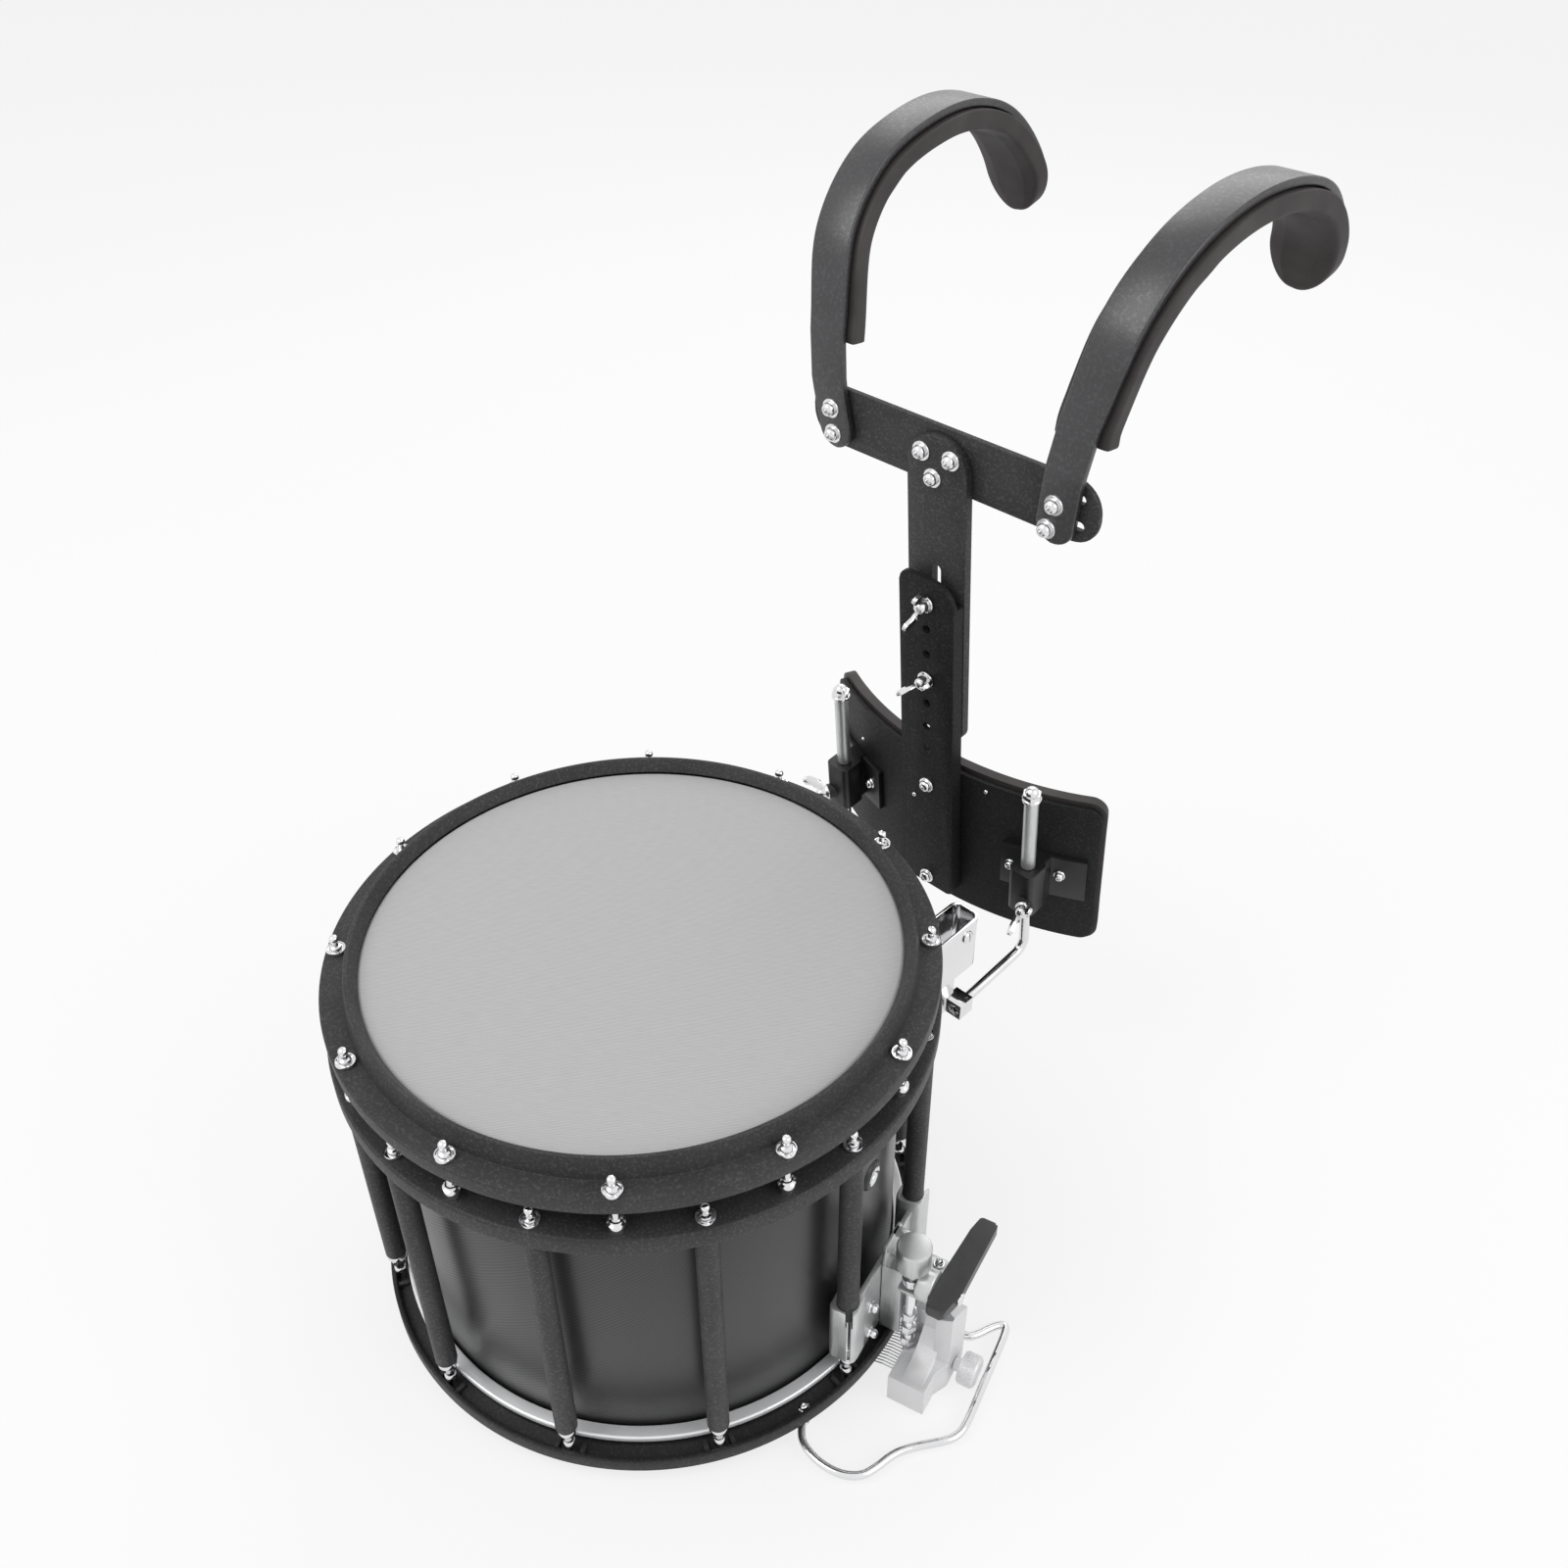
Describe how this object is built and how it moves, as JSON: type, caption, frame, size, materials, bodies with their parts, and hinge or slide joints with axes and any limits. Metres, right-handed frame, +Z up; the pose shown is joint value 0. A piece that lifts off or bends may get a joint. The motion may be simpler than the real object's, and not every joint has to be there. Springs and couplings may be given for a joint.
{
  "type": "marching snare drum",
  "caption": "Marching snare drum with lug-ring tubes, side strainer and guard, hung from a slotted shoulder carrier with a curved belly plate.",
  "frame": {"origin": "centre of the batter head's playing face, on the drum's axis", "axes": "+Z up the drum's axis, +Y from the drum to the player's chest, +X to the strainer's side"},
  "size_m": [0.4869, 0.7351, 0.7242],
  "materials": {
    "shell_wrap": "satin black woven wrap on a maple shell",
    "batter_skin": "matt woven fibre head",
    "snare_skin": "frosted clear film",
    "powder_black": "wrinkled black powder coat",
    "carrier_black": "wrinkled black powder coat",
    "arm_coat": "smooth dark blue-grey coat",
    "chrome_rod": "polished chrome",
    "wing_chrome": "polished chrome",
    "wing_black": "black coat on the wings, bright shank",
    "satin_metal": "brushed satin",
    "cast_silver": "cast, light silver lacquer",
    "clamp_black": "moulded black plastic",
    "black_plastic": "moulded dark plastic",
    "snare_wire": "drawn wire",
    "pad_foam": "smooth dark foam"
  },
  "bodies": {
    "drum": {"shell": "shell_wrap", "batter_head": "batter_skin", "batter_hoop": "powder_black", "snare_head": "snare_skin", "snare_hoop": "powder_black", "lug_ring": "powder_black", "top_rod_1": "chrome_rod", "top_rod_2": "chrome_rod", "top_rod_3": "chrome_rod", "top_rod_4": "chrome_rod", "top_rod_5": "chrome_rod", "top_rod_6": "chrome_rod", "top_rod_7": "chrome_rod", "top_rod_8": "chrome_rod", "top_rod_9": "chrome_rod", "top_rod_10": "chrome_rod", "top_rod_11": "chrome_rod", "top_rod_12": "chrome_rod", "bottom_rod_1": "chrome_rod", "bottom_rod_2": "chrome_rod", "bottom_rod_3": "chrome_rod", "bottom_rod_4": "chrome_rod", "bottom_rod_5": "chrome_rod", "bottom_rod_6": "chrome_rod", "bottom_rod_7": "chrome_rod", "bottom_rod_8": "chrome_rod", "bottom_rod_9": "chrome_rod", "bottom_rod_10": "chrome_rod", "bottom_rod_11": "chrome_rod", "bottom_rod_12": "chrome_rod", "strainer_bracket": "satin_metal", "strainer_guide": "satin_metal", "butt_plate": "satin_metal", "snare_guard": "chrome_rod", "drum_bracket_right": "chrome_rod", "drum_bracket_left": "chrome_rod"},
    "lever": {"strainer_lever": "black_plastic"},
    "carriage": {"snare_carriage": "cast_silver"},
    "tension": {"tension_knob": "satin_metal"},
    "snare_clamp": {"clamp_knob": "cast_silver"},
    "snares": {"snare_wires": "snare_wire"},
    "eye_screw_right": {"bracket_screw_right": "wing_black"},
    "eye_screw_left": {"bracket_screw_left": "wing_black"},
    "rod_right": {"hooked_rod_right": "chrome_rod"},
    "rod_left": {"hooked_rod_left": "chrome_rod"},
    "plate": {"belly_plate": "carrier_black", "belly_pad": "pad_foam", "carrier_column": "carrier_black", "clamp_block_right": "clamp_black", "clamp_block_left": "clamp_black"},
    "rod_screw_right": {"clamp_screw_right": "wing_chrome"},
    "rod_screw_left": {"clamp_screw_left": "wing_chrome"},
    "upper_screw": {"height_screw_upper": "wing_chrome"},
    "lower_screw": {"height_screw_lower": "wing_chrome"},
    "yoke": {"carrier_stem": "carrier_black", "cross_bar": "carrier_black"},
    "shoulder_right": {"shoulder_arm_right": "arm_coat", "shoulder_pad_right": "pad_foam"},
    "shoulder_left": {"shoulder_arm_left": "arm_coat", "shoulder_pad_left": "pad_foam"}
  },
  "joints": [
    {"name": "lever_throw", "type": "hinge", "parent": "drum", "child": "lever", "pos_m": [0.2301, 0.04923, -0.2045], "axis": [0.9659, 0.2588, 0], "range_deg": [0, 90]},
    {"name": "carriage_drop", "type": "slide", "parent": "drum", "child": "carriage", "axis": [0, 0, -1], "range_m": [0, 0.003]},
    {"name": "snare_drop", "type": "hinge", "parent": "drum", "child": "snares", "pos_m": [-0.20429, -0.05474, -0.2991], "axis": [-0.2588, 0.9659, 0], "range_deg": [0, 0.397]},
    {"name": "tension_turn", "type": "hinge", "parent": "carriage", "child": "tension", "pos_m": [0.21347, 0.04322, -0.179], "axis": [0, 0, 1], "continuous": true},
    {"name": "snare_clamp_turn", "type": "hinge", "parent": "carriage", "child": "snare_clamp", "pos_m": [0.25235, 0.06348, -0.2935], "axis": [0.9659, 0.2588, 0], "continuous": true},
    {"name": "eye_screw_right_turn", "type": "hinge", "parent": "drum", "child": "eye_screw_right", "pos_m": [0.0851, 0.23645, -0.17181], "axis": [-1, 0, 0], "continuous": true},
    {"name": "eye_screw_left_turn", "type": "hinge", "parent": "drum", "child": "eye_screw_left", "pos_m": [-0.0851, 0.23645, -0.17181], "axis": [1, 0, 0], "continuous": true},
    {"name": "rod_right_slide", "type": "slide", "parent": "drum", "child": "rod_right", "axis": [0, 0.9966, 0.0819], "range_m": [-0.02, 0.004]},
    {"name": "rod_left_slide", "type": "slide", "parent": "drum", "child": "rod_left", "axis": [0, 0.9966, 0.0819], "range_m": [-0.02, 0.004]},
    {"name": "plate_height", "type": "slide", "parent": "rod_right", "child": "plate", "axis": [0, -0.0819, 0.9966], "range_m": [-0.03, 0]},
    {"name": "rod_screw_right_turn", "type": "hinge", "parent": "plate", "child": "rod_screw_right", "pos_m": [0.0945, 0.31118, -0.10446], "axis": [0.4695, -0.88, -0.0723], "continuous": true},
    {"name": "rod_screw_left_turn", "type": "hinge", "parent": "plate", "child": "rod_screw_left", "pos_m": [-0.0945, 0.31118, -0.10446], "axis": [-0.4695, -0.88, -0.0723], "continuous": true},
    {"name": "upper_screw_turn", "type": "hinge", "parent": "plate", "child": "upper_screw", "pos_m": [0, 0.28558, 0.12752], "axis": [0, -0.9966, -0.0819], "continuous": true},
    {"name": "lower_screw_turn", "type": "hinge", "parent": "plate", "child": "lower_screw", "pos_m": [0, 0.29113, 0.0601], "axis": [0, -0.9966, -0.0819], "continuous": true},
    {"name": "yoke_height", "type": "slide", "parent": "plate", "child": "yoke", "axis": [0, -0.0819, 0.9966], "range_m": [-0.02, 0.035]},
    {"name": "shoulder_right_width", "type": "slide", "parent": "yoke", "child": "shoulder_right", "axis": [1, 0, 0], "range_m": [-0.02, 0.01]},
    {"name": "shoulder_left_width", "type": "slide", "parent": "yoke", "child": "shoulder_left", "axis": [-1, 0, 0], "range_m": [-0.02, 0.01]}
  ],
  "couplings": [
    {"joint": "lever_throw", "follows": "carriage_drop", "rad_per_m": 523.34},
    {"joint": "snare_drop", "follows": "carriage_drop", "rad_per_m": 2.3073},
    {"joint": "rod_left_slide", "follows": "rod_right_slide", "ratio": 1}
  ]
}
